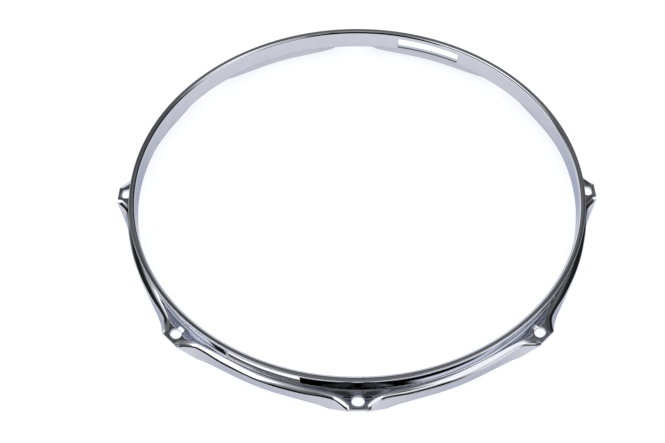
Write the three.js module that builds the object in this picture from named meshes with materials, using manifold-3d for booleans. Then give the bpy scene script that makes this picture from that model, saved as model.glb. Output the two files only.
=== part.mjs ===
import * as THREE from 'three';
import { mergeVertices } from 'three/addons/utils/BufferGeometryUtils.js';
import Module from 'manifold-3d';

// Pressed steel drum hoop: a strip of sheet steel with a turned-out top flange, an upright
// collar, a shoulder that bears on the drum head's flesh hoop, and a skirt round it. Eight ears
// are pressed out of the shoulder and the skirt to take the tension rods, and two windows in
// the collar let the snare strands' straps through.
//
// Millimetres, +Z up. The origin is on the hoop's axis, level with the skirt's lower edge.
// Round sections are given as radius and height. An ear is given in its own frame, with x
// outward along the ear's axis and y along the hoop, and is then turned to its place.

// Sheet and the bore that clears the drum shell
const sheet = 2.3;
const boreRadius = 180.4;

// Section heights and widths
const skirtDepth = 11.8;
const collarRise = 17.0;
const flangeWidth = 5.0;
const flangeBendInside = 0.5;
const lipRound = 0.75;
const seatFillet = 0.9;
const crestStandOff = 0.3;
const shoulderRun = 5.1;
const cornerRound = 1.1;
const cornerRoundInside = 0.3;

// Slopes of the shoulder: where it leaves the collar's fillet, and where the corner begins.
// It is level at an ear and falls fully past the second of two angles from the ear's axis.
const shoulderFall = THREE.MathUtils.degToRad(12);
const shoulderBreak = THREE.MathUtils.degToRad(32);
const levelAngle = THREE.MathUtils.degToRad(4);
const fallAngle = THREE.MathUtils.degToRad(16);
const skirtSteepness = THREE.MathUtils.degToRad(91);

// Ears: how many, where the rod hole is, and how far the ear reaches past it
const earCount = 8;
const holeStandOff = 3.0;
const holeLength = 9.3;
const holeWidth = 7.6;
const earMargin = 6.5;
const earFlatHalf = 5.3;
const earEndHalf = 9.0;
const earEndDepth = 2.6;
const earSideTaper = THREE.MathUtils.degToRad(3);
const earEndSteepness = THREE.MathUtils.degToRad(64);
const flareAngle = THREE.MathUtils.degToRad(4.7);
const flankAngle = THREE.MathUtils.degToRad(28.5);
const footSlope = THREE.MathUtils.degToRad(34.2);
const footSoftness = 1.5;

// Where the straight stretches beside an ear leave the round of the hoop
const crestTangent = THREE.MathUtils.degToRad(13);
const footTangent = THREE.MathUtils.degToRad(17);
const crestCornerRun = 5.0;
const footCornerRun = 8.0;

// Snare gates: two windows in the collar, opposite each other
const gateSpans = [2, 6];
const gateLength = 59.5;
const gateFoot = 1.6;
const gateHeight = 10.3;
const gateCorner = 0.9;

// Facets. The ring has its steps between two ears' axes. A flank has a count of its own for each
// step of the ring that it stands beside, most of them round the ear's corner.
const stepsPerSpan = 12;
const flankStepCounts = [6, 3, 3];
const bendSteps = 3;
const slopeSteps = 2;
const lipSteps = 2;
const holeSteps = 8;
const halvings = 40;

// Shares that shape the ear's flanks
const wallThicknessLimitShare = 0.8;
const cornerRunLimitShare = 0.85;

// Sizes that follow from the ones above
const cutOverrun = sheet * 2;
const earTop = skirtDepth;
const hoopTop = earTop + collarRise;
const collarRadius = boreRadius + sheet;
const flangeRadius = boreRadius + flangeWidth;
const seatRadius = collarRadius + seatFillet;
const crestRadius = seatRadius + crestStandOff;
const footRadius = crestRadius + shoulderRun;
const holeCircle = footRadius + holeStandOff;
const earReach = holeCircle + earMargin;
const earAngle = THREE.MathUtils.degToRad(360) / earCount;
const ringStep = earAngle / stepsPerSpan;
const earHalfSteps = flankStepCounts.length;
const earHalfAngle = earHalfSteps * ringStep;
const flangeBendOutside = flangeBendInside + sheet;
const collarTop = hoopTop - flangeBendOutside;

const wasm = await Module();
wasm.setup();

// A point of a plan circle drawn as straight facets, so that pieces on either side of it meet
// whatever steps each of them is made in.
function ringPoint(radius, azimuth, height) {
  const half = ringStep / 2;
  const within = azimuth - Math.floor(azimuth / ringStep) * ringStep;
  const reach = radius * Math.cos(half) / Math.cos(within - half);
  return new THREE.Vector3(reach * Math.cos(azimuth), reach * Math.sin(azimuth), height);
}

// Points of an arc in a section, from one angle to another.
function arcPoints(centre, radius, from, to, steps) {
  return Array.from({ length: steps + 1 }, (_, i) => {
    const angle = from + (to - from) * i / steps;
    return new THREE.Vector2(centre.x + radius * Math.cos(angle), centre.y + radius * Math.sin(angle));
  });
}

// A closed solid between two skins, each a list of stations that are lists of points. Both
// skins have the same counts, and a skin that comes out inside out is turned by its volume.
function sheetSolid(outer, inner) {
  const stations = outer.length;
  const points = outer[0].length;
  const vertices = [...outer.flat(), ...inner.flat()];
  const at = (skin, station, point) => (skin * stations + station) * points + point;
  const triangles = [];
  const quad = (a, b, c, d) => triangles.push([a, b, c], [a, c, d]);
  for (let s = 0; s < stations - 1; s += 1) {
    for (let p = 0; p < points - 1; p += 1) {
      quad(at(0, s, p), at(0, s + 1, p), at(0, s + 1, p + 1), at(0, s, p + 1));
      quad(at(1, s, p), at(1, s, p + 1), at(1, s + 1, p + 1), at(1, s + 1, p));
    }
    const last = points - 1;
    quad(at(0, s, 0), at(1, s, 0), at(1, s + 1, 0), at(0, s + 1, 0));
    quad(at(0, s, last), at(0, s + 1, last), at(1, s + 1, last), at(1, s, last));
  }
  for (let p = 0; p < points - 1; p += 1) {
    const last = stations - 1;
    quad(at(0, 0, p), at(0, 0, p + 1), at(1, 0, p + 1), at(1, 0, p));
    quad(at(0, last, p), at(1, last, p), at(1, last, p + 1), at(0, last, p + 1));
  }
  const volume = triangles.reduce((sum, [a, b, c]) => {
    const cross = vertices[b].clone().cross(vertices[c]);
    return sum + vertices[a].dot(cross);
  }, 0);
  const order = volume < 0 ? ([a, b, c]) => [a, c, b] : (triangle) => triangle;
  const geometry = new THREE.BufferGeometry();
  geometry.setFromPoints(vertices);
  geometry.setIndex(triangles.flatMap(order));
  return geometry;
}

// A three.js geometry as a solid that can be cut and joined.
function toManifold(source) {
  const geometry = source.clone();
  geometry.deleteAttribute('normal');
  geometry.deleteAttribute('uv');
  const merged = mergeVertices(geometry);
  const mesh = new wasm.Mesh({
    numProp: 3,
    vertProperties: new Float32Array(merged.attributes.position.array),
    triVerts: new Uint32Array(merged.index.array),
  });
  return new wasm.Manifold(mesh);
}

function toGeometry(solid) {
  const mesh = solid.getMesh();
  const geometry = new THREE.BufferGeometry();
  geometry.setAttribute('position', new THREE.BufferAttribute(new Float32Array(mesh.vertProperties), 3));
  geometry.setIndex(new THREE.BufferAttribute(new Uint32Array(mesh.triVerts), 1));
  return geometry;
}

// Revolves a pair of section skins over one span between two ears' axes.
function spanSolid(outerSection, innerSection, span) {
  const stations = Array.from({ length: stepsPerSpan + 1 }, (_, i) => (span - 1) * earAngle + i * ringStep);
  const skin = (section) => stations.map((azimuth) => section.map((p) => ringPoint(p.x, azimuth, p.y)));
  return sheetSolid(skin(outerSection), skin(innerSection));
}

// The top flange: the strip turned outward through a quarter bend, with a rounded lip.
function flangeSolid(span) {
  const bend = new THREE.Vector2(boreRadius + flangeBendOutside, collarTop);
  const lip = flangeRadius - lipRound;
  const upper = [
    ...arcPoints(bend, flangeBendOutside, Math.PI, Math.PI / 2, bendSteps),
    ...arcPoints(new THREE.Vector2(lip, hoopTop - lipRound), lipRound, Math.PI / 2, 0, lipSteps),
  ];
  const lower = [
    ...arcPoints(bend, flangeBendInside, Math.PI, Math.PI / 2, bendSteps),
    ...arcPoints(new THREE.Vector2(lip, hoopTop - sheet + lipRound), lipRound, -Math.PI / 2, 0, lipSteps),
  ];
  return spanSolid(upper, lower, span);
}

// The collar: the upright wall that stands inside the shell's line, and the fillet at its foot
// that carries it out to the shoulder.
function collarSolid(span) {
  const fillet = new THREE.Vector2(seatRadius, earTop + seatFillet);
  const outer = [
    new THREE.Vector2(collarRadius, collarTop),
    ...arcPoints(fillet, seatFillet, Math.PI, Math.PI * 3 / 2, bendSteps),
  ];
  const inner = [
    new THREE.Vector2(boreRadius, collarTop),
    ...arcPoints(fillet, seatFillet + sheet, Math.PI, Math.PI * 3 / 2, bendSteps),
  ];
  return spanSolid(outer, inner, span);
}

// A snare gate's cutter: a rounded window drawn on the collar, swept in and out along the
// hoop's radii, because the strip is punched flat and rolled afterwards.
function gateCutter(span) {
  const halfAngle = gateLength / 2 / collarRadius;
  const cornerAngle = gateCorner / collarRadius;
  const middle = (span - 0.5) * earAngle;
  const low = earTop + gateFoot;
  const high = low + gateHeight;
  const outline = [];
  for (const [side, from] of [[1, 0], [-1, Math.PI]]) {
    const azimuth = halfAngle - cornerAngle;
    const heights = side > 0 ? [low + gateCorner, high - gateCorner] : [high - gateCorner, low + gateCorner];
    heights.forEach((height, turn) => {
      const start = from + (turn - 1) * Math.PI / 2;
      for (let i = 0; i <= lipSteps; i += 1) {
        const angle = start + Math.PI / 2 * i / lipSteps;
        outline.push([
          middle + side * azimuth + cornerAngle * Math.cos(angle),
          height + gateCorner * Math.sin(angle),
        ]);
      }
    });
  }
  const ring = (radius) => outline.map(([azimuth, height]) => new THREE.Vector3(
    radius * Math.cos(azimuth), radius * Math.sin(azimuth), height,
  ));
  return prismSolid(ring(boreRadius - cutOverrun), ring(seatRadius + cutOverrun));
}

// A solid between two like outlines, each closed by a fan round its own middle.
function prismSolid(near, far) {
  const count = near.length;
  const centre = (ring) => ring.reduce((sum, p) => sum.add(p), new THREE.Vector3()).divideScalar(count);
  const vertices = [...near, ...far, centre(near), centre(far)];
  const triangles = [];
  for (let i = 0; i < count; i += 1) {
    const next = (i + 1) % count;
    triangles.push([i, next, count + next], [i, count + next, count + i]);
    triangles.push([2 * count, next, i], [2 * count + 1, count + i, count + next]);
  }
  const geometry = new THREE.BufferGeometry();
  geometry.setFromPoints(vertices);
  geometry.setIndex(triangles.flat());
  return geometry;
}

// Distance from the hoop's axis to an edge that follows a circle between the ears and leaves
// it along a tangent towards each ear.
function edgeRadius(circle, tangent, fromEar) {
  return circle / Math.cos(Math.max(0, tangent - fromEar));
}

// Plan of an edge beside an ear, from the ear's end to the ear's border with the span: a
// straight side, a soft corner and the tangent stretch. x is outward, y along the hoop.
function edgePath(endHalf, sideAngle, circle, tangent, cornerRun) {
  const end = new THREE.Vector2(earReach, endHalf);
  const side = new THREE.Vector2(-Math.cos(sideAngle), Math.sin(sideAngle));
  const normal = new THREE.Vector2(Math.cos(tangent), Math.sin(tangent));
  const along = (circle - end.dot(normal)) / side.dot(normal);
  const corner = end.clone().addScaledVector(side, along);
  const join = new THREE.Vector2(Math.cos(earHalfAngle), Math.sin(earHalfAngle))
    .multiplyScalar(edgeRadius(circle, tangent, earHalfAngle));
  const run = Math.min(
    cornerRun,
    corner.distanceTo(end) * cornerRunLimitShare,
    corner.distanceTo(join) * cornerRunLimitShare,
  );
  const before = corner.clone().add(end.clone().sub(corner).setLength(run));
  const after = corner.clone().add(join.clone().sub(corner).setLength(run));
  const path = new THREE.Path();
  path.moveTo(end.x, end.y);
  path.lineTo(before.x, before.y);
  path.quadraticCurveTo(corner.x, corner.y, after.x, after.y);
  path.lineTo(join.x, join.y);
  return path;
}

const crestPath = edgePath(earFlatHalf, earSideTaper, crestRadius, crestTangent, crestCornerRun);
const footPath = edgePath(earEndHalf, Math.PI / 2 - flankAngle, footRadius, footTangent, footCornerRun);

// Slope at which the shoulder leaves the collar's fillet, at an angle from the ear's axis.
function fallAt(fromEar) {
  return shoulderFall * THREE.MathUtils.smoothstep(fromEar, levelAngle, fallAngle);
}

// Slope of the skirt, at an angle from the ear's axis: it flares out towards an ear's end.
function steepnessAt(fromEar) {
  const pastEnd = fromEar - Math.atan2(earEndHalf, earReach);
  return THREE.MathUtils.lerp(skirtSteepness, earEndSteepness, Math.exp(-pastEnd / flareAngle));
}

// The lower of two lengths, with a round turn from one to the other.
function softMin(a, b, softness) {
  const near = Math.max(softness - Math.abs(a - b), 0) / softness;
  return Math.min(a, b) - near * near * softness / 4;
}

// Section of the shoulder and skirt down the upright plane from a point of the crest to a
// point of the foot: a stretch that grows steeper, a round corner and the straight skirt.
function dropSection(crest, foot, fall, steepness, corner) {
  const run = new THREE.Vector2(foot.x - crest.x, foot.y - crest.y);
  const across = run.length() - corner * (Math.sin(steepness) - Math.sin(shoulderBreak));
  const below = crest.z - foot.z - corner * (Math.cos(shoulderBreak) - Math.cos(steepness));
  const grade = (Math.tan(fall) + Math.tan(shoulderBreak)) / 2;
  const needed = across * Math.sin(steepness) - below * Math.cos(steepness);
  const reach = Math.max(crestStandOff, needed / (Math.sin(steepness) - grade * Math.cos(steepness)));
  const slope = Array.from({ length: slopeSteps }, (_, i) => {
    const x = reach * i / slopeSteps;
    const growth = (Math.tan(shoulderBreak) - Math.tan(fall)) * x * x / 2 / reach;
    return new THREE.Vector2(x, -Math.tan(fall) * x - growth);
  });
  const centre = new THREE.Vector2(
    reach - corner * Math.sin(shoulderBreak), -reach * grade - corner * Math.cos(shoulderBreak),
  );
  const turn = arcPoints(centre, corner, Math.PI / 2 - shoulderBreak, Math.PI / 2 - steepness, bendSteps);
  const direction = run.normalize();
  const down = [...slope, ...turn].map((p) => new THREE.Vector3(
    crest.x + direction.x * p.x, crest.y + direction.y * p.x, crest.z + p.y,
  ));
  return [...down, foot];
}

// One station across the shoulder and the skirt, from the collar's fillet to the foot, as its
// outer and inner skins. facing is the way the skirt's edge faces in plan, and the two angles
// from the ear's axis are those of the crest and of the foot.
function skirtStation(seat, crest, foot, facing, crestAngle, footAngle) {
  const fall = fallAt(crestAngle);
  const steepness = steepnessAt(footAngle);
  const run = new THREE.Vector2(foot.x - crest.x, foot.y - crest.y);
  const across = run.length();
  const direction = run.clone().normalize();
  const thickness = Math.min(sheet / direction.dot(facing), across * wallThicknessLimitShare);
  const innerFoot = new THREE.Vector3(
    foot.x - direction.x * thickness, foot.y - direction.y * thickness, foot.z,
  );
  const flat = Math.hypot(crest.x - seat.x, crest.y - seat.y);
  const outerCrest = new THREE.Vector3(crest.x, crest.y, seat.z - flat * Math.tan(fall));
  const innerCrest = outerCrest.clone();
  innerCrest.z -= sheet / Math.cos(fall);
  const outer = [seat, ...dropSection(outerCrest, foot, fall, steepness, cornerRound)];
  const inner = [
    seat.clone().setZ(earTop - sheet),
    ...dropSection(innerCrest, innerFoot, fall, steepness, cornerRoundInside),
  ];
  return { outer, inner };
}

// Share of the crest's path at which it has come round to an azimuth.
function crestShareAt(azimuth) {
  let low = 0;
  let high = 1;
  for (let i = 0; i < halvings; i += 1) {
    const share = (low + high) / 2;
    const point = crestPath.getPointAt(share);
    if (Math.atan2(point.y, point.x) < azimuth) low = share;
    else high = share;
  }
  return (low + high) / 2;
}

// Shares of the stations from an ear's end to its border. They fall in with the facets of the
// collar, so that the two pieces meet along the same straight lines.
function flankShares() {
  const marks = flankStepCounts.map((_, i) => (i < earHalfSteps - 1 ? crestShareAt((i + 1) * ringStep) : 1));
  const shares = [0];
  flankStepCounts.forEach((count, i) => {
    const start = shares.at(-1);
    for (let step = 1; step <= count; step += 1) {
      shares.push(THREE.MathUtils.lerp(start, marks[i], step / count));
    }
  });
  return shares;
}

// Stations from an ear's end round to the ear's border, on the side where y is positive.
function flankStations() {
  const footLength = footPath.getLength();
  return flankShares().map((share) => {
    const crest = crestPath.getPointAt(share);
    const azimuth = Math.atan2(crest.y, crest.x);
    const edge = footPath.getPointAt(share);
    const swept = earEndDepth + share * footLength * Math.tan(footSlope);
    const foot = new THREE.Vector3(edge.x, edge.y, earTop - softMin(skirtDepth, swept, footSoftness));
    const tangent = footPath.getTangentAt(share);
    const facing = new THREE.Vector2(tangent.y, -tangent.x);
    const seat = ringPoint(seatRadius, azimuth, earTop);
    return skirtStation(seat, crest, foot, facing, azimuth, Math.atan2(edge.y, edge.x));
  });
}

// The shoulder and skirt between two ears.
function skirtSolid(span) {
  const middle = (span - 0.5) * earAngle;
  const stations = [];
  for (let i = earHalfSteps; i <= stepsPerSpan - earHalfSteps; i += 1) {
    const fromEar = Math.min(i, stepsPerSpan - i) * ringStep;
    const azimuth = (span - 1) * earAngle + i * ringStep;
    const outward = new THREE.Vector2(Math.cos(azimuth), Math.sin(azimuth));
    const crest = outward.clone().multiplyScalar(edgeRadius(crestRadius, crestTangent, fromEar));
    const edge = outward.clone().multiplyScalar(edgeRadius(footRadius, footTangent, fromEar));
    const foot = new THREE.Vector3(edge.x, edge.y, earTop - skirtDepth);
    const lean = Math.max(0, footTangent - fromEar) * Math.sign(middle - azimuth);
    const facing = outward.clone().rotateAround(new THREE.Vector2(), lean);
    const seat = ringPoint(seatRadius, azimuth, earTop);
    stations.push(skirtStation(seat, crest, foot, facing, fromEar, fromEar));
  }
  return sheetSolid(stations.map((s) => s.outer), stations.map((s) => s.inner));
}

// The rod hole's cutter: an oblong with round ends, its long way along the hoop.
function holeCutter() {
  const radius = holeWidth / 2;
  const offset = (holeLength - holeWidth) / 2;
  const shape = new THREE.Shape();
  shape.absarc(holeCircle, offset, radius, 0, Math.PI);
  shape.absarc(holeCircle, -offset, radius, Math.PI, Math.PI * 2);
  const geometry = new THREE.ExtrudeGeometry(shape, {
    depth: sheet + 2 * cutOverrun,
    bevelEnabled: false,
    curveSegments: holeSteps,
  });
  geometry.translate(0, 0, earTop - sheet - cutOverrun);
  return geometry;
}

// A tension ear: a flat tongue with the rod hole, and a flank on each side that bends down
// and sweeps back into the skirt. The tongue's end is open, where the strip was sheared.
function earSolid(number) {
  const flank = flankStations();
  const mirrored = (points) => points.map((p) => new THREE.Vector3(p.x, -p.y, p.z));
  const tongueSeat = [-1, 0, 1].map((side) => flank[0].outer[0].clone().multiply(new THREE.Vector3(1, side, 1)));
  tongueSeat[1].copy(ringPoint(seatRadius, 0, earTop));
  const tongueEnd = tongueSeat.map((p, i) => new THREE.Vector3(earReach, (i - 1) * earFlatHalf, p.z));
  const tongueTop = tongueSeat.map((p, i) => [p, tongueEnd[i]]);
  const lowered = (rows) => rows.map((row) => row.map((p) => p.clone().setZ(earTop - sheet)));
  const tongue = toManifold(sheetSolid(tongueTop, lowered(tongueTop)));
  const right = toManifold(sheetSolid(flank.map((s) => s.outer), flank.map((s) => s.inner)));
  const left = toManifold(sheetSolid(flank.map((s) => mirrored(s.outer)), flank.map((s) => mirrored(s.inner))));
  const whole = tongue.add(right).add(left).subtract(toManifold(holeCutter()));
  const geometry = toGeometry(whole);
  geometry.rotateZ((number - 1) * earAngle);
  return geometry;
}

// Bright chromium plating over polished steel.
function chrome() {
  return new THREE.MeshStandardMaterial({ color: 0xc8cad8, roughness: 0.06, metalness: 1 });
}

function addPiece(group, name, geometry) {
  const piece = new THREE.Mesh(geometry.toNonIndexed(), chrome());
  piece.geometry.computeVertexNormals();
  piece.name = name;
  group.add(piece);
}

const hoop = new THREE.Group();
for (let number = 1; number <= earCount; number += 1) {
  const hasGate = gateSpans.includes(number);
  const collar = collarSolid(number);
  const panel = hasGate
    ? toGeometry(toManifold(collar).subtract(toManifold(gateCutter(number))))
    : collar;
  addPiece(hoop, `top_flange_${number}`, flangeSolid(number));
  addPiece(hoop, hasGate ? `snare_gate_collar_${number}` : `collar_${number}`, panel);
  addPiece(hoop, `skirt_${number}`, skirtSolid(number));
  addPiece(hoop, `tension_ear_${number}`, earSolid(number));
}

export default hoop;
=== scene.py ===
import math

import bmesh
import bpy
from mathutils import Matrix, Quaternion, Vector


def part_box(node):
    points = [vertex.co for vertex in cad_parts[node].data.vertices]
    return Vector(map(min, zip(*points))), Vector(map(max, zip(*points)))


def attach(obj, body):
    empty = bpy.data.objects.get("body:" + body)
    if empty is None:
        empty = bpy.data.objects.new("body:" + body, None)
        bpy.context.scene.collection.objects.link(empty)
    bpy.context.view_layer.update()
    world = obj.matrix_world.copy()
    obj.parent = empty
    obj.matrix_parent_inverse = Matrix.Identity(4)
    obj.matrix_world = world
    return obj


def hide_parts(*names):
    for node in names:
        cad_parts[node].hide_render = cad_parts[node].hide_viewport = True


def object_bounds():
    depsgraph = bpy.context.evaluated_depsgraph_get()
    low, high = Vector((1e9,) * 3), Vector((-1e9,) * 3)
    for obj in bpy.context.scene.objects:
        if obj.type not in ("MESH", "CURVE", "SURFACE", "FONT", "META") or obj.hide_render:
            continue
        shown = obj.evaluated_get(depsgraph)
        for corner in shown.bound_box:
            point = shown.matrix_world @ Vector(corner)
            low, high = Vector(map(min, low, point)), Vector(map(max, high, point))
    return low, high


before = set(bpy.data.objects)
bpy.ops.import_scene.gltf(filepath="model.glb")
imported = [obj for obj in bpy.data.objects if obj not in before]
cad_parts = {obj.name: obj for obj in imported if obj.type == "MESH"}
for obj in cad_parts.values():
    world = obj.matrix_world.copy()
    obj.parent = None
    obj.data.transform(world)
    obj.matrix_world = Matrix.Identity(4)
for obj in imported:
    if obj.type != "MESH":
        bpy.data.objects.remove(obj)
cad_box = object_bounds()

# The strip's own sizes, in metres. Radii are from the hoop's axis and heights from the skirt's
# lower edge. What the parts of model.glb give is read from them.
MM = 0.001
EAR_COUNT = 8
SHEET = 2.3 * MM
BORE_RADIUS = 180.4 * MM
FLANGE_BEND_INSIDE = 0.5 * MM
LIP_ROUND = 0.75 * MM
SEAT_FILLET = 0.9 * MM
CREST_STAND_OFF = 0.3 * MM
FOOT_RADIUS = 189.0 * MM
SKIRT_LIP = 0.5 * MM
CORNER_ROUND = 1.1 * MM
CORNER_ROUND_INSIDE = 0.3 * MM

# Slopes of the shoulder and the skirt, the longest stretch over which the shoulder grows steeper,
# and the angles round the hoop over which these slopes change
SHOULDER_FALL = math.radians(12)
SHOULDER_BREAK = math.radians(32)
SHOULDER_RUN = 4.8 * MM
SKIRT_STEEPNESS = math.radians(91)
EAR_END_STEEPNESS = math.radians(64)
FLARE_ANGLE = math.radians(6.5)
LEVEL_ANGLE = math.radians(4)
FALL_ANGLE = math.radians(16)

# The ear's end and its flanks
EAR_FLAT_HALF = 5.3 * MM
EAR_END_HALF = 9.0 * MM
EAR_END_DEPTH = 2.6 * MM
EAR_SIDE_TAPER = math.radians(3)
FLANK_ANGLE = math.radians(28.5)
FOOT_SLOPE = math.radians(34.2)
FOOT_SOFTNESS = 1.5 * MM
CREST_TANGENT = math.radians(13)
FOOT_TANGENT = math.radians(17)
CREST_CORNER_RUN = 5.0 * MM
FOOT_CORNER_RUN = 8.0 * MM

# Rod holes, snare gates and the broken edges of both
HOLE_CIRCLE = 192.0 * MM
HOLE_LENGTH = 9.3 * MM
HOLE_WIDTH = 7.6 * MM
GATE_SPANS = (2, 6)
GATE_LENGTH = 59.5 * MM
GATE_FOOT = 1.6 * MM
GATE_HEIGHT = 10.3 * MM
GATE_CORNER = 0.9 * MM
EDGE_BREAK = 0.25 * MM
MOUTH_TURN = tuple(math.radians(angle) for angle in (25, 45, 65, 90))
MOUTH_OVERRUN = 0.1 * MM
CUT_OVERRUN = 3 * MM

# Shares of a length that a corner, a wall or a rounded edge may take up at most, and the share of
# a path over which its direction is taken
CORNER_RUN_LIMIT_SHARE = 0.85
WALL_LIMIT_SHARE = 0.8
LIP_LIMIT_SHARE = 0.45
TANGENT_REACH_SHARE = 0.02

# Mesh fineness
FLANK_STEPS = 45
SPAN_STEPS = 30
TONGUE_STEPS = 6
PLAN_CORNER_STEPS = 24
FLANGE_STEPS = 20
FILLET_STEPS = 12
SLOPE_STEPS = 10
CORNER_STEPS = 16
LIP_STEPS = 10
FLAT_STEPS = 3
STRAIGHT_STEPS = 5
HALF_HOLE_STEPS = 32
GATE_STEP = 2 * MM
SAME_POINT = 0.002 * MM
SLIVER = 0.001 * MM
SHARP_ANGLE = math.radians(40)

hoop_top = cad_box[1].z
ear_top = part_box("tension_ear_1")[1].z
ear_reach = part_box("tension_ear_1")[1].x
flange_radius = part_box("top_flange_1")[1].x
collar_radius = BORE_RADIUS + SHEET
seat_radius = collar_radius + SEAT_FILLET
crest_radius = seat_radius + CREST_STAND_OFF
flange_bend_outside = FLANGE_BEND_INSIDE + SHEET
collar_top = hoop_top - flange_bend_outside
span_angle = math.tau / EAR_COUNT
ear_half_angle = span_angle / 4


def lerp(a, b, share):
    return a + (b - a) * share


def smoothstep(value, low, high):
    t = min(1, max(0, (value - low) / (high - low)))
    return t * t * (3 - 2 * t)


def soft_min(a, b, softness):
    """The lower of two values, with a round turn from one to the other."""
    h = max(softness - abs(a - b), 0) / softness
    return min(a, b) - h * h * softness / 4


def arc(centre, radius, start, end, steps):
    """Points of an arc, from one angle to another, in degrees."""
    angles = [math.radians(lerp(start, end, i / steps)) for i in range(steps + 1)]
    return [(centre[0] + radius * math.cos(a), centre[1] + radius * math.sin(a)) for a in angles]


class Path:
    """A polyline in plan that gives points by their share of its length."""

    def __init__(self, points):
        self.points = points
        self.marks = [0]
        for a, b in zip(points, points[1:]):
            self.marks.append(self.marks[-1] + (b - a).length)
        self.length = self.marks[-1]

    def at(self, share):
        distance = min(1, max(0, share)) * self.length
        for i, (low, high) in enumerate(zip(self.marks, self.marks[1:])):
            if distance <= high:
                return self.points[i].lerp(self.points[i + 1], (distance - low) / (high - low))
        return self.points[-1].copy()

    def tangent(self, share):
        ahead = self.at(share + TANGENT_REACH_SHARE)
        return (ahead - self.at(share - TANGENT_REACH_SHARE)).normalized()


def edge_radius(circle, tangent, from_ear):
    """Distance from the axis to an edge that leaves its circle along a tangent to each ear."""
    return circle / math.cos(max(0, tangent - from_ear))


def edge_path(end_half, side_angle, circle, tangent, corner_run):
    """Plan of an edge beside an ear, from the ear's end to its border with the span."""
    end = Vector((ear_reach, end_half))
    side = Vector((-math.cos(side_angle), math.sin(side_angle)))
    normal = Vector((math.cos(tangent), math.sin(tangent)))
    corner = end + side * ((circle - end.dot(normal)) / side.dot(normal))
    reach = edge_radius(circle, tangent, ear_half_angle)
    join = Vector((math.cos(ear_half_angle), math.sin(ear_half_angle))) * reach
    longest = min((corner - end).length, (corner - join).length) * CORNER_RUN_LIMIT_SHARE
    run = min(corner_run, longest)
    before = corner + (end - corner).normalized() * run
    after = corner + (join - corner).normalized() * run
    turn = []
    for i in range(PLAN_CORNER_STEPS + 1):
        t = i / PLAN_CORNER_STEPS
        turn.append(before * (1 - t) ** 2 + corner * 2 * t * (1 - t) + after * t * t)
    return Path([end, *turn, join])


crest_path = edge_path(EAR_FLAT_HALF, EAR_SIDE_TAPER, crest_radius, CREST_TANGENT, CREST_CORNER_RUN)
foot_path = edge_path(
    EAR_END_HALF, math.pi / 2 - FLANK_ANGLE, FOOT_RADIUS, FOOT_TANGENT, FOOT_CORNER_RUN
)


def shoulder_fall(azimuth):
    """Slope at which the shoulder leaves the collar: level at an ear, falling between ears."""
    return SHOULDER_FALL * smoothstep(abs(azimuth), LEVEL_ANGLE, FALL_ANGLE)


def steepness_at(azimuth):
    """Slope of the skirt: it flares out towards an ear's end."""
    past_end = abs(azimuth) - math.atan2(EAR_END_HALF, ear_reach)
    return lerp(SKIRT_STEEPNESS, EAR_END_STEEPNESS, math.exp(-((past_end / FLARE_ANGLE) ** 2)))


def seat_point(azimuth, inside=False):
    """Where the collar's fillet ends and the shoulder begins."""
    fall = shoulder_fall(azimuth)
    radius = SEAT_FILLET + (SHEET if inside else 0)
    reach = seat_radius - radius * math.sin(fall)
    height = ear_top + SEAT_FILLET - radius * math.cos(fall)
    return Vector((reach * math.cos(azimuth), reach * math.sin(azimuth), height))


def steepening(fall):
    """How much the shoulder's mean slope gains where it turns from its fall to its break."""
    return (math.tan(SHOULDER_BREAK) - math.tan(fall)) / 2


def drop_at(x, reach, growing, fall):
    """How far the shoulder has dropped at a distance from the crest."""
    past = max(0, x - (reach - growing))
    return x * math.tan(fall) + steepening(fall) * past * past / growing


def drop_section(crest, foot, fall, steepness, corner):
    """Points down the upright plane from the crest to the foot: a straight stretch, one that
    grows steeper, a round corner and the straight skirt."""
    run = Vector((foot.x - crest.x, foot.y - crest.y))
    across = run.length - corner * (math.sin(steepness) - math.sin(SHOULDER_BREAK))
    below = crest.z - foot.z - corner * (math.cos(SHOULDER_BREAK) - math.cos(steepness))
    gain = steepening(fall)
    toward = across * math.sin(steepness) - below * math.cos(steepness)
    lead = math.sin(steepness) - math.tan(fall) * math.cos(steepness)
    growing = min(SHOULDER_RUN, toward / (lead - gain * math.cos(steepness)))
    growing = max(CREST_STAND_OFF, growing)
    reach = max(growing, (toward + growing * gain * math.cos(steepness)) / lead)
    section = []
    for i in range(SLOPE_STEPS):
        x = reach * i / SLOPE_STEPS
        section.append((x, -drop_at(x, reach, growing, fall)))
    centre = (
        reach - corner * math.sin(SHOULDER_BREAK),
        -drop_at(reach, reach, growing, fall) - corner * math.cos(SHOULDER_BREAK),
    )
    start, end = 90 - math.degrees(SHOULDER_BREAK), 90 - math.degrees(steepness)
    section += arc(centre, corner, start, end, CORNER_STEPS)
    direction = run.normalized()
    points = []
    for x, z in section:
        points.append(Vector((crest.x + direction.x * x, crest.y + direction.y * x, crest.z + z)))
    last = points[-1]
    points += [last.lerp(foot, (i + 1) / STRAIGHT_STEPS) for i in range(STRAIGHT_STEPS)]
    return points


def lip_points(outer_foot, inner_foot, above):
    """Rounds the strip's sheared edge between its outer and inner foot."""
    across = (outer_foot - inner_foot).normalized()
    radius = min(SKIRT_LIP, (outer_foot - inner_foot).length * LIP_LIMIT_SHARE)
    up = above.normalized()
    points = []
    for side, foot in ((1, outer_foot), (-1, inner_foot)):
        centre = foot - across * side * radius + up * radius
        angles = [i / LIP_STEPS * math.pi / 2 for i in range(LIP_STEPS + 1)]
        if side < 0:
            angles.reverse()
        for a in angles:
            points.append(centre + across * side * radius * math.cos(a) - up * radius * math.sin(a))
    return points


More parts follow.
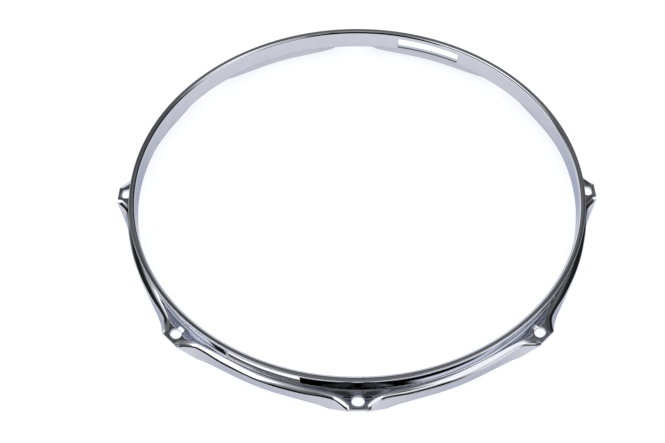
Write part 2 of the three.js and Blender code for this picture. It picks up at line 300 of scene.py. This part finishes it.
def skirt_loop(azimuth, crest_plan, foot, facing):
    """One station of the shoulder and skirt: the outer skin, the lip and the inner skin."""
    fall = shoulder_fall(azimuth)
    steepness = steepness_at(math.atan2(foot.y, foot.x))
    seat = seat_point(azimuth)
    seat_under = seat_point(azimuth, inside=True)
    flat_run = (crest_plan - seat.xy).length
    crest = Vector((*crest_plan, seat.z - flat_run * math.tan(fall)))
    run = foot.xy - crest_plan
    direction = run.normalized()
    thickness = min(SHEET / direction.dot(facing), run.length * WALL_LIMIT_SHARE)
    inner_foot = Vector((foot.x - direction.x * thickness, foot.y - direction.y * thickness, foot.z))
    crest_under = crest - Vector((0, 0, SHEET / math.cos(fall)))
    outer = drop_section(crest, foot, fall, steepness, CORNER_ROUND)
    inner = drop_section(crest_under, inner_foot, fall, steepness, CORNER_ROUND_INSIDE)
    lip = lip_points(outer[-1], inner[-1], outer[-2] - outer[-1])
    flat = [seat.lerp(outer[0], i / FLAT_STEPS) for i in range(FLAT_STEPS)]
    under = [inner[0].lerp(seat_under, (i + 1) / FLAT_STEPS) for i in range(FLAT_STEPS)]
    return flat + outer[:-1] + lip + inner[-2::-1] + under


def flank_station(share):
    """The loop of a station between the ear's tongue and the ear's border, where y is positive."""
    edge = foot_path.at(share)
    sloped_depth = EAR_END_DEPTH + share * foot_path.length * math.tan(FOOT_SLOPE)
    depth = soft_min(ear_top, sloped_depth, FOOT_SOFTNESS)
    tangent = foot_path.tangent(share)
    facing = Vector((tangent.y, -tangent.x))
    foot = Vector((edge.x, edge.y, ear_top - depth))
    crest = crest_path.at(share)
    return skirt_loop(math.atan2(crest.y, crest.x), crest, foot, facing)


def span_station(azimuth):
    """The loop of a station between the ear's border and the middle of the span."""
    outward = Vector((math.cos(azimuth), math.sin(azimuth)))
    lean = max(0, FOOT_TANGENT - azimuth)
    facing = outward.copy()
    facing.rotate(Matrix.Rotation(lean, 2))
    crest = outward * edge_radius(crest_radius, CREST_TANGENT, azimuth)
    edge = outward * edge_radius(FOOT_RADIUS, FOOT_TANGENT, azimuth)
    return skirt_loop(azimuth, crest, Vector((*edge, 0)), facing)


def ring_profile(fall):
    """Section of the fillet, collar and top flange, from the seat up, over and down again."""
    fillet = (seat_radius, ear_top + SEAT_FILLET)
    bend = (BORE_RADIUS + flange_bend_outside, collar_top)
    lip = flange_radius - LIP_ROUND
    end = 270 - math.degrees(fall)
    heights = [lerp(fillet[1], collar_top, i / STRAIGHT_STEPS) for i in range(1, STRAIGHT_STEPS)]
    return [
        *arc(fillet, SEAT_FILLET, end, 180, FILLET_STEPS),
        *[(collar_radius, height) for height in heights],
        *arc(bend, FLANGE_BEND_INSIDE, 180, 90, LIP_STEPS),
        *arc((lip, hoop_top - SHEET + LIP_ROUND), LIP_ROUND, -90, 0, LIP_STEPS),
        *arc((lip, hoop_top - LIP_ROUND), LIP_ROUND, 0, 90, LIP_STEPS),
        *arc(bend, flange_bend_outside, 90, 180, FLANGE_STEPS),
        *[(BORE_RADIUS, height) for height in reversed(heights)],
        *arc(fillet, SEAT_FILLET + SHEET, 180, end, FILLET_STEPS),
    ]


class Skin:
    """Collects faces between rows of points, to be welded into one closed mesh."""

    def __init__(self):
        self.vertices = []
        self.faces = []

    def grid(self, rows, flip=False):
        """Adds the faces between neighbouring rows, facing the other way when flipped."""
        start = len(self.vertices)
        width = len(rows[0])
        for row in rows:
            self.vertices += row
        for r in range(len(rows) - 1):
            for c in range(width - 1):
                a = start + r * width + c
                face = (a, a + 1, a + width + 1, a + width)
                self.faces.append(face[::-1] if flip else face)


def add_ring(skin, azimuths):
    """The fillet, collar and top flange, through a station at each azimuth."""
    rows = []
    for azimuth in azimuths:
        c, s = math.cos(azimuth), math.sin(azimuth)
        rows.append([Vector((r * c, r * s, z)) for r, z in ring_profile(shoulder_fall(azimuth))])
    skin.grid(rows)


def add_tongue(skin, edge_azimuth):
    """The ear's flat plate between its two flanks: its top, its underside and its cut end."""
    top, under = [], []
    down = Vector((0, 0, SHEET))
    for i in range(-TONGUE_STEPS, TONGUE_STEPS + 1):
        end = Vector((ear_reach, EAR_FLAT_HALF * i / TONGUE_STEPS, ear_top))
        seat = seat_point(edge_azimuth * i / TONGUE_STEPS)
        row = [seat.lerp(end, i / FLAT_STEPS) for i in range(FLAT_STEPS + 1)]
        top.append(row)
        under.append([p - down for p in row])
    skin.grid(top, flip=True)
    skin.grid(under)
    skin.grid([[row[-1] for row in top], [row[-1] for row in under]], flip=True)


def add_flank_end(skin, loop, flip):
    """The sheared end of a flank, across the sheet from the outer skin to the inner one."""
    section = loop[FLAT_STEPS:len(loop) - FLAT_STEPS]
    half = len(section) // 2
    skin.grid([section[:half], section[: half - 1 : -1]], flip=flip)


def hoop_period():
    """The skin of one ear and half a span on each side of it."""
    shares = [i / FLANK_STEPS for i in range(FLANK_STEPS)]
    crests = [crest_path.at(share) for share in shares]
    spans = [lerp(ear_half_angle, span_angle / 2, i / SPAN_STEPS) for i in range(SPAN_STEPS + 1)]
    loops = [flank_station(share) for share in shares] + [span_station(a) for a in spans]
    mirrored = [[Vector((p.x, -p.y, p.z)) for p in loop] for loop in loops]
    azimuths = [math.atan2(crest.y, crest.x) for crest in crests] + spans
    tongue = [azimuths[0] * i / TONGUE_STEPS for i in range(TONGUE_STEPS)]
    one_side = tongue + azimuths
    skin = Skin()
    add_ring(skin, [-a for a in reversed(one_side)] + one_side[1:])
    skin.grid(loops, flip=True)
    skin.grid(mirrored)
    add_tongue(skin, azimuths[0])
    add_flank_end(skin, loops[0], flip=True)
    add_flank_end(skin, mirrored[0], flip=False)
    return skin


def finished_mesh(bm, name):
    """A mesh of what a bmesh holds, which is freed."""
    mesh = bpy.data.meshes.new(name)
    bm.to_mesh(mesh)
    bm.free()
    return mesh


def add_object(name, data):
    obj = bpy.data.objects.new(name, data)
    bpy.context.collection.objects.link(obj)
    return obj


def hoop_mesh():
    """The whole hoop before its holes and gates are cut."""
    period = hoop_period()
    bm = bmesh.new()
    for number in range(EAR_COUNT):
        spin = Matrix.Rotation(number * span_angle, 3, "Z")
        vertices = [bm.verts.new(spin @ v) for v in period.vertices]
        for face in period.faces:
            bm.faces.new([vertices[i] for i in face])
    bmesh.ops.remove_doubles(bm, verts=bm.verts, dist=SAME_POINT)
    bmesh.ops.dissolve_degenerate(bm, edges=bm.edges, dist=SLIVER)
    bmesh.ops.recalc_face_normals(bm, faces=bm.faces)
    return finished_mesh(bm, "hoop")


def loft(rings, name):
    """A closed cutter through rings of points, with flat ends."""
    bm = bmesh.new()
    rows = [[bm.verts.new(p) for p in ring] for ring in rings]
    count = len(rings[0])
    for a, b in zip(rows, rows[1:]):
        for i in range(count):
            j = (i + 1) % count
            bm.faces.new((a[i], a[j], b[j], b[i]))
    bm.faces.new(rows[0][::-1])
    bm.faces.new(rows[-1])
    bmesh.ops.recalc_face_normals(bm, faces=bm.faces)
    return finished_mesh(bm, name)


def broken_edges(low, high):
    """Places through a sheet, and how much a cutter is wider there: its two mouths break the
    sheet's edges."""
    round_mouth = [(EDGE_BREAK * (1 - math.cos(a)), EDGE_BREAK * (1 - math.sin(a))) for a in MOUTH_TURN]
    first_depth, first_growth = round_mouth[0]
    flare = first_growth + (MOUTH_OVERRUN + first_depth) / math.tan(MOUTH_TURN[0])
    mouth = [(-CUT_OVERRUN, flare), (-MOUTH_OVERRUN, flare)] + round_mouth
    return [(low + d, grow) for d, grow in mouth] + [(high - d, grow) for d, grow in reversed(mouth)]


def hole_rings():
    """The rod hole's cutter in the first ear: an oblong, its long way along the hoop."""
    radius = HOLE_WIDTH / 2
    offset = (HOLE_LENGTH - HOLE_WIDTH) / 2
    rings = []
    for height, grow in broken_edges(ear_top - SHEET, ear_top):
        ring = []
        for side, start in ((1, 0), (-1, 180)):
            centre = (HOLE_CIRCLE, side * offset)
            half_circle = arc(centre, radius + grow, start, start + 180, HALF_HOLE_STEPS)
            ring += [Vector((x, y, height)) for x, y in half_circle]
        rings.append(ring)
    return rings


def gate_rings():
    """The snare gate's cutter on the x axis: a long window with round corners."""
    low = ear_top + GATE_FOOT
    high = low + GATE_HEIGHT
    rings = []
    for radius, grow in broken_edges(BORE_RADIUS, collar_radius):
        half = GATE_LENGTH / 2 + grow
        corner = GATE_CORNER + grow
        ring = []
        for x, z, start in (
            (half - corner, high + grow - corner, 0),
            (corner - half, high + grow - corner, 90),
            (corner - half, low - grow + corner, 180),
            (half - corner, low - grow + corner, 270),
        ):
            for along, height in arc((x, z), corner, start, start + 90, LIP_STEPS):
                azimuth = along / collar_radius
                ring.append(Vector((radius * math.cos(azimuth), radius * math.sin(azimuth), height)))
        rings.append(subdivided(ring, radius))
    return rings


def subdivided(ring, radius):
    """Adds points along the long sides of a ring, so that they follow the collar's round."""
    points = []
    for a, b in zip(ring, ring[1:] + ring[:1]):
        points.append(a)
        pieces = max(1, round((b - a).length / GATE_STEP))
        for i in range(1, pieces):
            p = a.lerp(b, i / pieces)
            flat = Vector((p.x, p.y)).normalized() * radius
            points.append(Vector((flat.x, flat.y, p.z)))
    return points


def cut(target, cutters):
    """Cuts a group of meshes out of the target, each turned round the hoop's axis."""
    whole = bmesh.new()
    for mesh, angle in cutters:
        part = mesh.copy()
        part.transform(Matrix.Rotation(angle, 4, "Z"))
        whole.from_mesh(part)
        bpy.data.meshes.remove(part)
    tool = add_object("cutter", finished_mesh(whole, "cutter"))
    modifier = target.modifiers.new("cut", "BOOLEAN")
    modifier.operation = "DIFFERENCE"
    modifier.solver = "EXACT"
    modifier.object = tool
    apply_modifiers(target)
    bpy.data.objects.remove(tool)


def apply_modifiers(target):
    """Keeps the shape that the modifiers give as the object's own mesh."""
    bpy.context.view_layer.update()
    depsgraph = bpy.context.evaluated_depsgraph_get()
    result = bpy.data.meshes.new_from_object(target.evaluated_get(depsgraph))
    target.modifiers.clear()
    target.data = result


def shade(mesh):
    """Smooth shading, with hard lines only where the surface turns sharply."""
    for polygon in mesh.polygons:
        polygon.use_smooth = True
    bm = bmesh.new()
    bm.from_mesh(mesh)
    for edge in bm.edges:
        edge.smooth = not (len(edge.link_faces) == 2 and edge.calc_face_angle() > SHARP_ANGLE)
    bm.to_mesh(mesh)
    bm.free()


def hoop_object():
    """The hoop with its rod holes and snare gates cut out."""
    hoop = add_object("chromed_hoop", hoop_mesh())
    hole = loft(hole_rings(), "hole_cutter")
    gate = loft(gate_rings(), "gate_cutter")
    cutters = [(hole, number * span_angle) for number in range(EAR_COUNT)]
    # A gate is half way between the ear that starts its span and the next one
    cutters += [(gate, (span - 1 / 2) * span_angle) for span in GATE_SPANS]
    cut(hoop, cutters)
    shade(hoop.data)
    return hoop


class ShaderGraph:
    """The nodes of a new material. A method adds what it names and returns what comes out of it.
    Each value that goes in is a socket or a constant."""

    def __init__(self, name):
        self.material = bpy.data.materials.new(name)
        self.material.use_nodes = True
        self.nodes = self.material.node_tree.nodes
        self.links = self.material.node_tree.links

    def put(self, socket, value):
        if isinstance(value, bpy.types.NodeSocket):
            self.links.new(value, socket)
        else:
            socket.default_value = value

    def fill(self, node, values):
        """Gives a node's inputs their values, by name."""
        for name, value in values.items():
            self.put(node.inputs[name], value)

    def place(self):
        return self.nodes.new("ShaderNodeTexCoord").outputs["Object"]

    def math(self, operation, *values):
        node = self.nodes.new("ShaderNodeMath")
        node.operation = operation
        for socket, value in zip(node.inputs, values):
            self.put(socket, value)
        return node.outputs[0]

    def product(self, *values):
        result = values[-1]
        for value in reversed(values[:-1]):
            result = self.math("MULTIPLY", value, result)
        return result

    def climb(self, value, start, end):
        """A smooth climb from 0 to 1 as a value goes from start to end, up or down."""
        node = self.nodes.new("ShaderNodeMapRange")
        node.interpolation_type = "SMOOTHSTEP"
        self.fill(node, {"Value": value, "From Min": start, "From Max": end})
        return node.outputs["Result"]

    def remap(self, value, given, wanted):
        """A value moved in proportion from one range to another."""
        node = self.nodes.new("ShaderNodeMapRange")
        self.fill(node, {"Value": value, "From Min": given[0], "From Max": given[1]})
        self.fill(node, {"To Min": wanted[0], "To Max": wanted[1]})
        return node.outputs["Result"]

    def mix(self, data_type, share, a, b):
        node = self.nodes.new("ShaderNodeMix")
        node.data_type = data_type
        self.fill(node, {"Factor": share, "A": a, "B": b})
        return node.outputs["Result"]

    def noise(self, vector, length, detail):
        """Noise with a wave length, from 0 to 1."""
        node = self.nodes.new("ShaderNodeTexNoise")
        self.fill(node, {"Vector": vector, "Scale": 1 / length, "Detail": detail})
        return node.outputs["Fac"]

    def split(self, vector):
        node = self.nodes.new("ShaderNodeSeparateXYZ")
        self.put(node.inputs[0], vector)
        return node.outputs

    def join(self, *values):
        node = self.nodes.new("ShaderNodeCombineXYZ")
        for socket, value in zip(node.inputs, values):
            self.put(socket, value)
        return node.outputs[0]

    def unit(self, vector):
        node = self.nodes.new("ShaderNodeVectorMath")
        node.operation = "NORMALIZE"
        self.put(node.inputs[0], vector)
        return node.outputs[0]

    def turned(self, vector, angle):
        """A vector turned round the upright axis."""
        node = self.nodes.new("ShaderNodeVectorRotate")
        node.rotation_type = "Z_AXIS"
        self.fill(node, {"Vector": vector, "Angle": angle})
        return node.outputs[0]

    def bump(self, height):
        """The normal of a relief whose height is in metres."""
        node = self.nodes.new("ShaderNodeBump")
        self.fill(node, {"Height": height, "Strength": 1, "Distance": 1})
        return node.outputs[0]

    def emission(self, values):
        node = self.nodes.new("ShaderNodeEmission")
        self.fill(node, values)
        return node.outputs[0]

    def surface(self, shader):
        """Makes a shader the material's surface."""
        output = self.nodes.new("ShaderNodeOutputMaterial")
        self.put(output.inputs["Surface"], shader)


# The plating: its two tints and the darker one at a glancing view, its roughness and the range of
# wear that it follows, its slow roll and its fine polishing lines
CHROME_DARK = (0.52, 0.53, 0.575, 1)
CHROME_BRIGHT = (0.575, 0.585, 0.635, 1)
CHROME_EDGE = (0.54, 0.58, 0.67, 1)
POLISH_RANGE = (0.02, 0.055)
WEAR_RANGE = (0.1, 0.45)
ROLL_LENGTH = 14 * MM
ROLL_DEPTH = 0.008 * MM
ROLL_DETAIL = 3
LINE_PITCH = 0.25 * MM
LINE_DEPTH = 0.00015 * MM
LINE_STRETCH = 90
LINE_DETAIL = 2

# The weld, a fine line up the collar and over the bend of the flange: a shallow groove, with painted
# shade along it
WELD_AZIMUTH = math.radians(-88.8)
WELD_HALF_WIDTH = 0.35 * MM
WELD_DEPTH = 0.03 * MM
# Colour of the painted shade along the weld, which stands for the shade in its notch
WELD_PAINTED_SHADE = (0.1, 0.1, 0.11, 1)
WELD_RADIUS = 184.5 * MM

# The corner between an ear and the collar, which the polishing wheel doesn't reach
DULL_POLISH = 0.13
DULL_HALF_ANGLE = math.radians(8)
DULL_BLEND_SHARE = 0.35
DULL_REACH = 190.0 * MM
DULL_HEIGHT = 3.0 * MM


def round_coordinates(graph, place):
    """Radius, azimuth and height of a place, as sockets."""
    x, y, z = graph.split(place)
    square = graph.math("MULTIPLY_ADD", x, x, graph.math("MULTIPLY", y, y))
    return graph.math("SQRT", square), graph.math("ARCTAN2", y, x), z


def weld_mask(graph, radius, azimuth):
    """Where the weld's groove and its painted shade are, from 0 to 1."""
    aside = graph.math("SUBTRACT", azimuth, WELD_AZIMUTH)
    across = graph.math("ABSOLUTE", graph.math("MULTIPLY", aside, radius))
    line = graph.climb(across, WELD_HALF_WIDTH, 0)
    collar = graph.climb(radius, WELD_RADIUS, WELD_RADIUS - SHEET / 4)
    return graph.product(line, collar)


def dull_mask(graph, radius, azimuth, height):
    """Where the plating is dull, from 0 to 1."""
    aside = graph.math("ABSOLUTE", graph.math("WRAP", azimuth, span_angle / 2, -span_angle / 2))
    widest = DULL_HALF_ANGLE * (1 + DULL_BLEND_SHARE)
    narrowest = DULL_HALF_ANGLE * (1 - DULL_BLEND_SHARE)
    beside = graph.climb(aside, widest, narrowest)
    low = graph.climb(height, ear_top + DULL_HEIGHT, ear_top + DULL_HEIGHT / 2)
    near = graph.climb(radius, DULL_REACH, DULL_REACH - DULL_HEIGHT)
    outside = graph.climb(radius, BORE_RADIUS + SHEET / 2, collar_radius)
    return graph.product(beside, low, near, outside)


def chrome_material():
    """Bright plating over polished steel."""
    graph = ShaderGraph("chrome_plate")
    place = graph.place()
    radius, azimuth, height = round_coordinates(graph, place)
    roll = graph.noise(place, ROLL_LENGTH, ROLL_DETAIL)
    along = graph.math("MULTIPLY", azimuth, BORE_RADIUS / LINE_STRETCH)
    lines = graph.noise(graph.join(radius, along, height), LINE_PITCH, LINE_DETAIL)
    weld = weld_mask(graph, radius, azimuth)
    tint = graph.mix("RGBA", roll, CHROME_DARK, CHROME_BRIGHT)
    polish = graph.remap(graph.product(roll, lines), WEAR_RANGE, POLISH_RANGE)
    dull = graph.product(dull_mask(graph, radius, azimuth, height), DULL_POLISH)
    rolled = graph.math("MULTIPLY", roll, ROLL_DEPTH)
    lined = graph.math("MULTIPLY_ADD", lines, LINE_DEPTH, rolled)
    relief = graph.math("MULTIPLY_ADD", weld, -WELD_DEPTH, lined)
    graph.fill(graph.nodes["Principled BSDF"], {
        # Painted shade: the weld's line is coloured dark in place of the shade in its notch
        "Base Color": graph.mix("RGBA", weld, tint, WELD_PAINTED_SHADE),
        "Metallic": 1,
        "Specular Tint": CHROME_EDGE,
        "Roughness": graph.math("MAXIMUM", polish, dull),
        "Normal": graph.bump(relief),
    })
    return graph.material


# White light from all sides, for the floor
WORLD_COLOUR = (1, 1, 1, 1)
WORLD_STRENGTH = 1

# A dome that only the metal's reflections see, and the level that it has where no card is
DOME_RADIUS = 3.0
DOME_SEGMENTS = 96
STUDIO_GREY = 0.16

# The dome's soft boxes and flags: middle azimuth, half width, lowest and highest elevation and how
# soft the edges are, all in degrees, then the level. A later card stands in front of an earlier
# one. The camera is at azimuth -90, and azimuth 0 is on its right.
STUDIO_CARDS = (
    (110, 39, -8, 25, 11, 1.4),  # low sweep beyond the hoop
    (90, 77, 32, 78, 6, 0.22),  # grey wall beyond the hoop
    (98, 22, 52, 61, 1.5, 0.09),  # dark strip across the wall
    (-158, 38, -8, 17, 5, 1.8),  # low box on the left
    (-176, 46, 54, 72, 10, 1.1),  # high box on the left
    (-165, 32, 25, 49, 3, 0.03),  # black flag between them
    (-86, 45, -8, 52, 2, 0.0),  # black flag at the camera
    (-91, 16, 50, 60.5, 0.5, 0.0),  # its raised middle
    (-27, 12, -8, 58, 7, 1.1),  # upright box on the right
    (29, 32, -8, 40, 6, 0.02),  # black flag on the right
    (-3, 41, 52, 72, 4, 1.6),  # high box on the right
    (-53, 19, 57, 62, 3, 1.9),  # high strip light on the right
    (-35, 30, 24, 38, 4, 2.1),  # strip light on the right
    (-179, 42, 51, 66, 3, 2.6),  # bright lower part of the high box on the left
    (-91, 16, 61.5, 79, 0.5, 0.48),  # grey box over the camera
    (46, 18, 30, 60, 6, 0.1),  # dark flag beyond, on the right
    (118, 10, 36, 50, 4, 0.1),  # dark flag beyond, on the left
    (160, 11, 22, 40, 3, 0.02),  # black flag on the left
    (156, 7, 44, 50, 2, 0.8),  # small box over that flag
    (0, 180, 79, 95, 2, 0.5),  # ceiling
)

# The floor's colour in the hoop's shadow, and the light that it gives by itself
FLOOR_COLOUR = (0.35, 0.35, 0.35, 1)
FLOOR_LIFT = (0.75, 0.755, 0.79, 1)

# The camera, fitted to the photograph. Its sensor and lens are in millimetres.
CAMERA_PLACE = Vector((-4.46 * MM, -500.51 * MM, 606.67 * MM + ear_top))
CAMERA_TARGET = Vector((-19.17 * MM, -30.64 * MM, ear_top))
CAMERA_ROLL = math.radians(-1.779)
CLIP_START = 0.01
SENSOR_WIDTH = 36.0
LENS = 51.04


def world_light():
    world = bpy.data.worlds.new("studio")
    bpy.context.scene.world = world
    world.use_nodes = True
    background = world.node_tree.nodes["Background"]
    background.inputs["Color"].default_value = WORLD_COLOUR
    background.inputs["Strength"].default_value = WORLD_STRENGTH


def card_mask(graph, direction, elevation, card):
    """How far a direction is inside a card, from 0 to 1."""
    middle, half, low, high, softness = [math.radians(angle) for angle in card]
    x, y, _ = graph.split(graph.turned(direction, -middle))
    aside = graph.math("ABSOLUTE", graph.math("ARCTAN2", y, x))
    across = graph.climb(aside, half + softness, half - softness)
    above = graph.climb(elevation, low - softness, low + softness)
    below = graph.climb(elevation, high + softness, high - softness)
    return graph.product(across, above, below)


def studio_material():
    """The light that comes from each direction of the dome."""
    graph = ShaderGraph("studio_dome")
    graph.nodes.clear()
    direction = graph.unit(graph.place())
    elevation = graph.math("ARCSINE", graph.split(direction)["Z"])
    light = STUDIO_GREY
    for *card, level in STUDIO_CARDS:
        light = graph.mix("FLOAT", card_mask(graph, direction, elevation, card), light, level)
    graph.surface(graph.emission({"Strength": light}))
    return graph.material


def dome():
    """Soft boxes and flags round the set."""
    bm = bmesh.new()
    bmesh.ops.create_uvsphere(
        bm, u_segments=DOME_SEGMENTS, v_segments=DOME_SEGMENTS, radius=DOME_RADIUS
    )
    obj = add_object("studio_dome", finished_mesh(bm, "studio_dome"))
    obj.data.materials.append(studio_material())
    obj.visible_camera = False
    obj.visible_diffuse = False
    obj.visible_shadow = False


def paper_material():
    """White paper: bright by itself, and darker only where it is in shadow."""
    graph = ShaderGraph("floor")
    graph.nodes.clear()
    diffuse = graph.nodes.new("ShaderNodeBsdfDiffuse")
    graph.fill(diffuse, {"Color": FLOOR_COLOUR})
    both = graph.nodes.new("ShaderNodeAddShader")
    graph.put(both.inputs[0], diffuse.outputs[0])
    graph.put(both.inputs[1], graph.emission({"Color": FLOOR_LIFT}))
    graph.surface(both.outputs[0])
    return graph.material


def floor():
    """The sheet of paper that takes the hoop's soft shadow."""
    mesh = bpy.data.meshes.new("floor")
    half = DOME_RADIUS
    corners = [(-half, -half, 0), (half, -half, 0), (half, half, 0), (-half, half, 0)]
    mesh.from_pydata(corners, [], [(0, 1, 2, 3)])
    obj = add_object("floor", mesh)
    mesh.materials.append(paper_material())


def camera():
    data = bpy.data.cameras.new("camera")
    data.sensor_width = SENSOR_WIDTH
    data.lens = LENS
    data.clip_start = CLIP_START
    obj = add_object("camera", data)
    forward = (CAMERA_TARGET - CAMERA_PLACE).normalized()
    right = forward.cross(Vector((0, 0, 1))).normalized()
    up = right.cross(forward)
    turn = Quaternion(forward, -CAMERA_ROLL)
    right, up = turn @ right, turn @ up
    basis = Matrix((right, up, -forward)).transposed().to_4x4()
    basis.translation = CAMERA_PLACE
    obj.matrix_world = basis
    bpy.context.scene.camera = obj


hoop = hoop_object()
hoop.data.materials.clear()
hoop.data.materials.append(chrome_material())
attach(hoop, "root")
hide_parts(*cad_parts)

world_light()
dome()
floor()
camera()
bpy.context.scene.view_settings.view_transform = "Standard"
